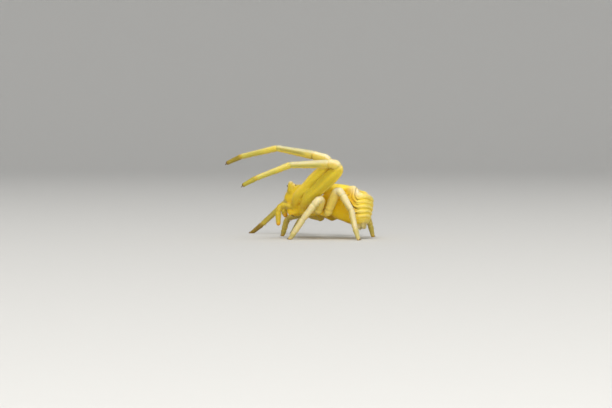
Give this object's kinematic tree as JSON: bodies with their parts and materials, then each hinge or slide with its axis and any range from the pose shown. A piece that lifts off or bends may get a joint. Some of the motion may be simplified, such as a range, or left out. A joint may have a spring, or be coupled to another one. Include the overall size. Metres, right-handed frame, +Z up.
{
  "type": "crab spider",
  "caption": "Life-size still model of a yellow crab spider standing with its left front legs raised over its back.",
  "frame": {"origin": "middle of the underside of the model's box, on the plane that its feet rest on", "axes": "+Z up; the spider faces -X and its left side is towards -Y"},
  "size_m": [0.0142, 0.0157, 0.0084],
  "materials": {
    "prosoma_yellow": "satin",
    "abdomen_yellow": "satin",
    "jaw_amber": "satin",
    "palp_amber": "satin",
    "leg_cream": "satin",
    "eye_black": "gloss",
    "claw_brown": "gloss"
  },
  "bodies": {
    "root": {"prosoma": "prosoma_yellow", "abdomen": "abdomen_yellow", "chelicera_left": "jaw_amber", "palp_left": "palp_amber", "chelicera_right": "jaw_amber", "palp_right": "palp_amber", "leg_left_1_femur": "leg_cream", "leg_left_1_tibia": "leg_cream", "leg_left_1_foot": "leg_cream", "leg_left_2_femur": "leg_cream", "leg_left_2_tibia": "leg_cream", "leg_left_2_foot": "leg_cream", "leg_left_3_femur": "leg_cream", "leg_left_3_tibia": "leg_cream", "leg_left_3_foot": "leg_cream", "leg_left_4_femur": "leg_cream", "leg_left_4_tibia": "leg_cream", "leg_left_4_foot": "leg_cream", "leg_right_1_femur": "leg_cream", "leg_right_1_tibia": "leg_cream", "leg_right_1_foot": "leg_cream", "leg_right_2_femur": "leg_cream", "leg_right_2_tibia": "leg_cream", "leg_right_2_foot": "leg_cream", "leg_right_3_femur": "leg_cream", "leg_right_3_tibia": "leg_cream", "leg_right_3_foot": "leg_cream", "leg_right_4_femur": "leg_cream", "leg_right_4_tibia": "leg_cream", "leg_right_4_foot": "leg_cream"}
  },
  "joints": []
}
